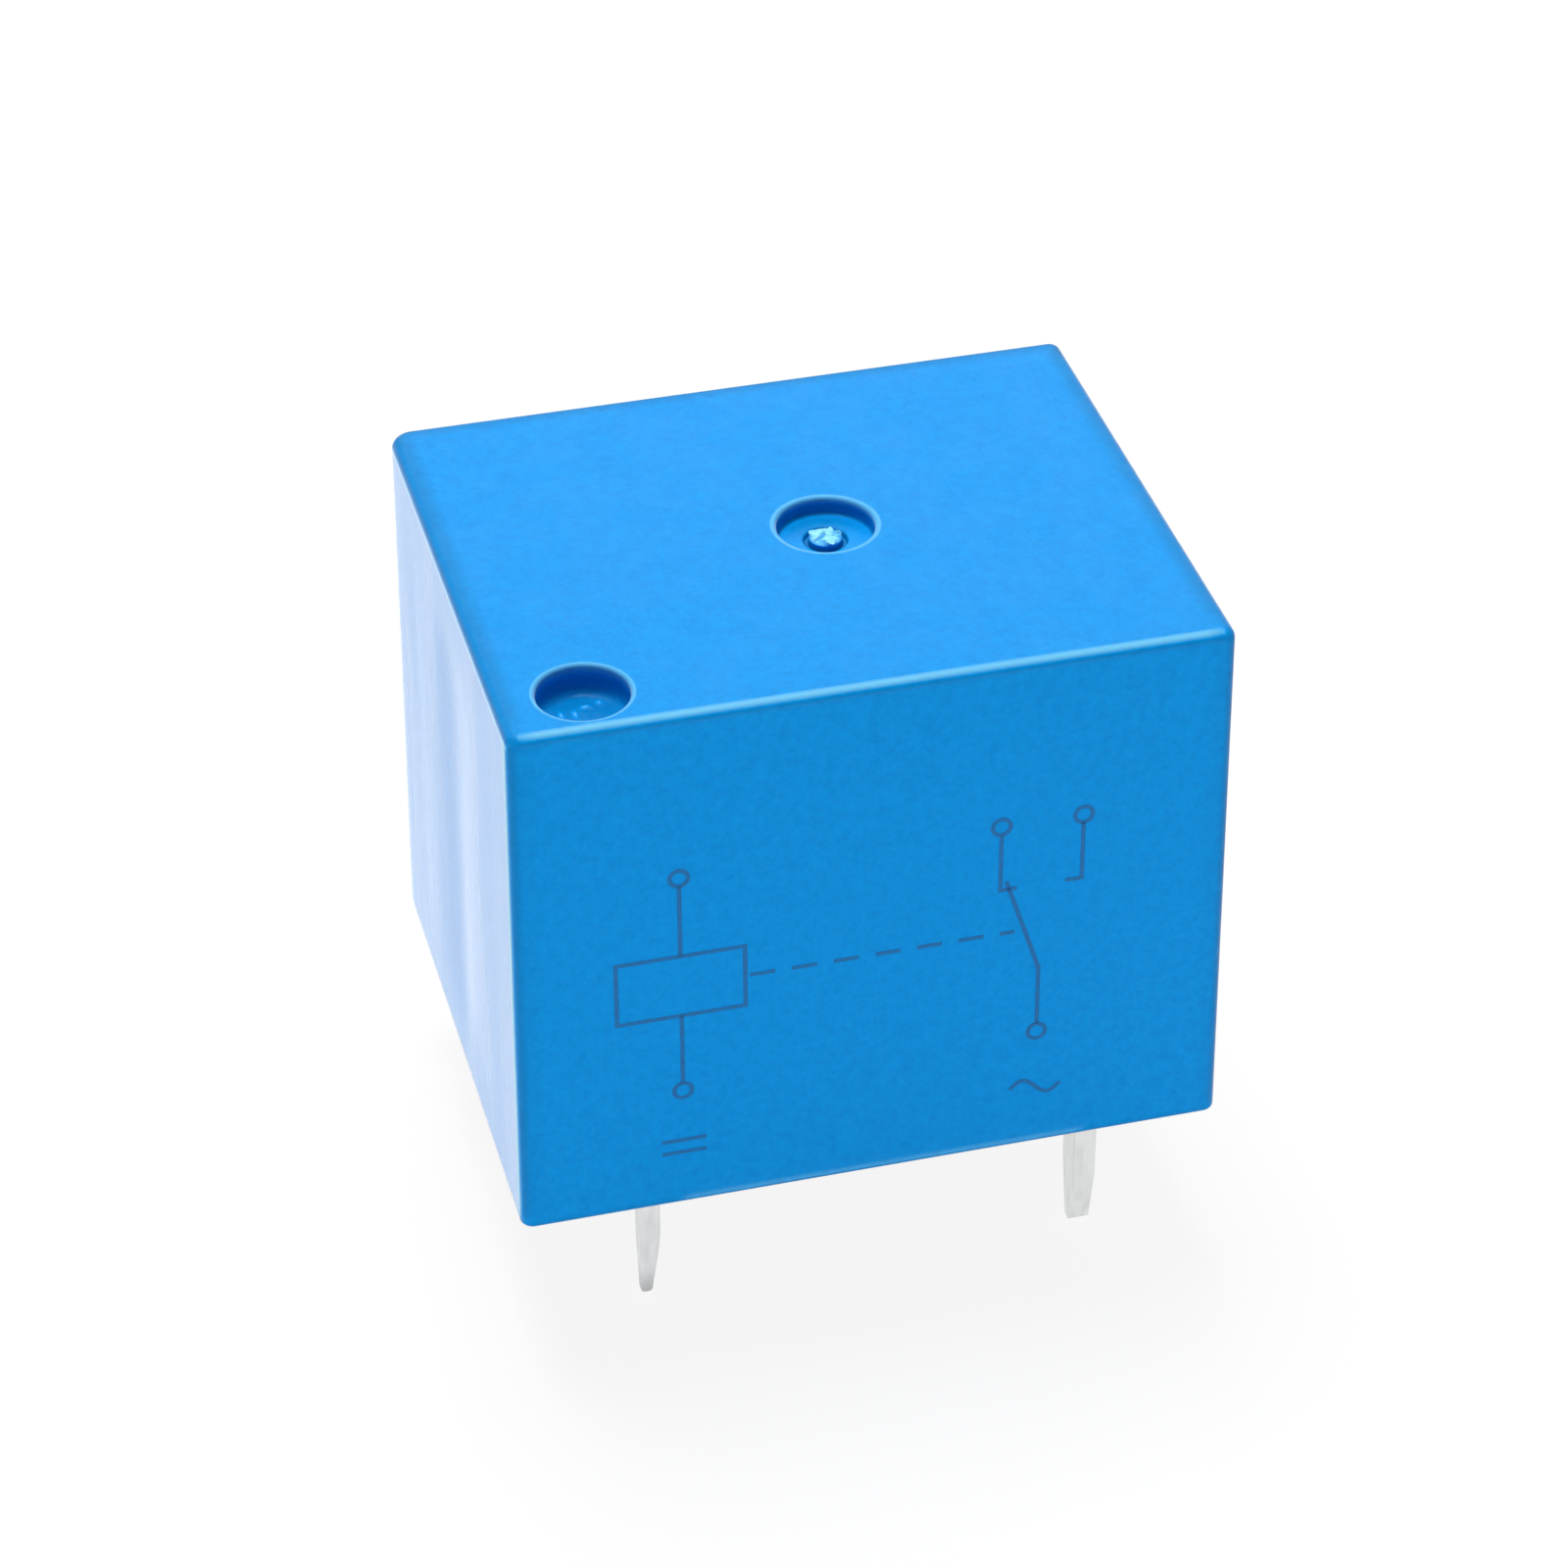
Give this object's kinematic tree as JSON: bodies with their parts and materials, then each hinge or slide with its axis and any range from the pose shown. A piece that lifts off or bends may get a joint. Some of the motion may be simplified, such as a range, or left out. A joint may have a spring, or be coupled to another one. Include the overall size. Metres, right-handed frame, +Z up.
{
  "type": "pcb power relay",
  "caption": "Sealed printed-circuit-board power relay in a small cube-like blue case, with coil, hinged armature, changeover contact and solder pins underneath.",
  "frame": {"origin": "middle of the case's outline, on the plane where the base pad and the rim seat on the board", "axes": "+Z up out of the board, +X from the common pin towards the contact pins, -Y towards the marked front face"},
  "size_m": [0.0192, 0.0154, 0.0199],
  "materials": {
    "case_plastic": "moulded blue polyester, satin gloss",
    "base_plastic": "moulded black",
    "sealing_resin": "cast epoxy resin",
    "bobbin_plastic": "moulded ivory",
    "enamelled_wire": "fine enamelled copper wire, close wound",
    "solder": "dull bright solder",
    "tinned_pin": "tinned copper wire",
    "tinned_blade": "tinned brass sheet",
    "soft_iron": "nickel-plated soft iron",
    "rivet_metal": "upset brass",
    "spring_copper": "rolled copper alloy strip",
    "contact_silver": "silver alloy"
  },
  "bodies": {
    "case": {"cover": "case_plastic", "base": "base_plastic", "base_seal": "sealing_resin", "bobbin": "bobbin_plastic", "coil_winding": "enamelled_wire", "coil_solder": "solder", "coil_terminal_front": "tinned_pin", "coil_terminal_rear": "tinned_pin", "core": "soft_iron", "yoke": "soft_iron", "yoke_rivets": "rivet_metal", "common_terminal": "tinned_blade", "normally_open_terminal": "tinned_blade", "normally_open_contact": "contact_silver", "normally_closed_terminal": "tinned_blade", "normally_closed_contact": "contact_silver"},
    "armature": {"armature": "soft_iron", "armature_rivets": "rivet_metal", "contact_spring": "spring_copper", "moving_contact": "contact_silver"}
  },
  "joints": [
    {"name": "armature_pivot", "type": "hinge", "parent": "case", "child": "armature", "pos_m": [-0.00745, 0, 0.01093], "axis": [0, 1, 0], "range_deg": [0, 3], "stiffness_Nm_per_rad": 0.07, "springref_deg": -1.72, "deforming": ["contact_spring"]}
  ]
}
